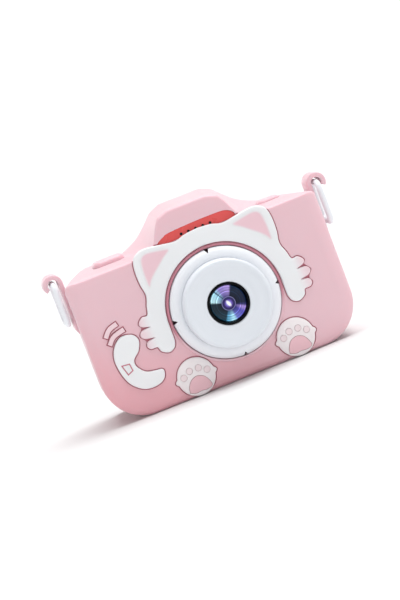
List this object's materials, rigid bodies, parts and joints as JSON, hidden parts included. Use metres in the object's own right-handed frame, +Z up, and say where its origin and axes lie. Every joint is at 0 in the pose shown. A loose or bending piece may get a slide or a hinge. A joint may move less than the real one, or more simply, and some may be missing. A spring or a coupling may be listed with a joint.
{
  "type": "kids digital camera",
  "caption": "Small digital camera for children in a soft silicone sleeve with a kitten relief, strap rings, rear screen, direction keys and two top buttons.",
  "frame": {"origin": "middle of the overall box, on the flat base that the camera stands on", "axes": "-Y the way the lens looks, +X to the right seen from the front, +Z up"},
  "size_m": [0.102, 0.045, 0.0628],
  "materials": {
    "sleeve_pink": "soft matt silicone with a satin skin",
    "relief_white": "soft matt white silicone",
    "relief_pale_pink": "soft matt pale pink silicone",
    "plastic_white": "moulded white ABS, satin gloss",
    "plastic_pink": "moulded pink ABS, fine matt texture",
    "plastic_red": "moulded red ABS, satin gloss",
    "plastic_black": "moulded black plastic",
    "screen_black": "black printed clear acrylic window",
    "lens_glass": "coated lens glass, violet and blue reflections",
    "circuit_board": "green solder resist on glass fibre board",
    "display_glass": "liquid crystal display in a steel tray",
    "steel": "plated steel",
    "cell_foil": "aluminium laminate pouch",
    "flex_amber": "amber polyimide flex",
    "wire_red": "red wire insulation",
    "wire_black": "black wire insulation"
  },
  "bodies": {
    "camera": {"silicone_case": "sleeve_pink", "cat_relief": "relief_white", "left_ear_patch": "relief_pale_pink", "right_ear_patch": "relief_pale_pink", "tail_relief": "relief_white", "tail_patch": "relief_pale_pink", "outer_motion_mark": "relief_pale_pink", "inner_motion_mark": "relief_pale_pink", "left_foot": "relief_white", "right_foot": "relief_white", "left_foot_pad": "relief_pale_pink", "right_foot_pad": "relief_pale_pink", "shutter_switch": "plastic_black", "power_switch": "plastic_black", "front_shell": "plastic_pink", "rear_shell": "plastic_pink", "grille_panel": "plastic_red", "upper_left_screw": "steel", "upper_right_screw": "steel", "lower_left_screw": "steel", "lower_right_screw": "steel", "lens_flange": "plastic_white", "lens_barrel": "plastic_white", "lens_bezel": "plastic_black", "lens_glass": "lens_glass", "lens_module": "plastic_black", "sensor_board": "circuit_board", "sensor_flex": "flex_amber", "screen_window": "screen_black", "lcd_module": "display_glass", "lcd_flex": "flex_amber", "key_mat": "relief_white", "main_board": "circuit_board", "battery": "cell_foil", "battery_lead_red": "wire_red", "battery_lead_black": "wire_black", "speaker": "plastic_black", "speaker_lead_red": "wire_red", "speaker_lead_black": "wire_black", "microphone": "steel", "usb_socket": "steel", "card_socket": "steel"},
    "shutter": {"shutter_pad": "sleeve_pink", "shutter_button": "plastic_pink"},
    "power": {"power_pad": "sleeve_pink", "power_button": "plastic_pink"},
    "ok": {"ok_key": "plastic_white"},
    "up": {"up_key": "plastic_white"},
    "down": {"down_key": "plastic_white"},
    "left": {"left_key": "plastic_white"},
    "right": {"right_key": "plastic_white"},
    "menu": {"menu_key": "plastic_white"},
    "play": {"play_key": "plastic_white"},
    "card": {"memory_card": "plastic_black"},
    "left_ring": {"left_strap_ring": "plastic_white"},
    "right_ring": {"right_strap_ring": "plastic_white"}
  },
  "joints": [
    {"name": "shutter_press", "type": "slide", "parent": "camera", "child": "shutter", "axis": [0, 0, -1], "range_m": [0, 0.0008], "stiffness_N_per_m": 900},
    {"name": "power_press", "type": "slide", "parent": "camera", "child": "power", "axis": [0, 0, -1], "range_m": [0, 0.0008], "stiffness_N_per_m": 900},
    {"name": "ok_press", "type": "slide", "parent": "camera", "child": "ok", "axis": [0, -1, 0], "range_m": [0, 0.0006], "stiffness_N_per_m": 700},
    {"name": "up_press", "type": "slide", "parent": "camera", "child": "up", "axis": [0, -1, 0], "range_m": [0, 0.0006], "stiffness_N_per_m": 700},
    {"name": "down_press", "type": "slide", "parent": "camera", "child": "down", "axis": [0, -1, 0], "range_m": [0, 0.0006], "stiffness_N_per_m": 700},
    {"name": "left_press", "type": "slide", "parent": "camera", "child": "left", "axis": [0, -1, 0], "range_m": [0, 0.0006], "stiffness_N_per_m": 700},
    {"name": "right_press", "type": "slide", "parent": "camera", "child": "right", "axis": [0, -1, 0], "range_m": [0, 0.0006], "stiffness_N_per_m": 700},
    {"name": "menu_press", "type": "slide", "parent": "camera", "child": "menu", "axis": [0, -1, 0], "range_m": [0, 0.0006], "stiffness_N_per_m": 700},
    {"name": "play_press", "type": "slide", "parent": "camera", "child": "play", "axis": [0, -1, 0], "range_m": [0, 0.0006], "stiffness_N_per_m": 700},
    {"name": "card_slide", "type": "slide", "parent": "camera", "child": "card", "axis": [1, 0, 0], "range_m": [0, 0.014]},
    {"name": "left_ring_swing", "type": "hinge", "parent": "camera", "child": "left_ring", "pos_m": [-0.0476, -0.002, 0.052], "axis": [0, 1, 0], "range_deg": [-2, 180]},
    {"name": "right_ring_swing", "type": "hinge", "parent": "camera", "child": "right_ring", "pos_m": [0.0476, -0.002, 0.052], "axis": [0, -1, 0], "range_deg": [-2, 180]}
  ]
}
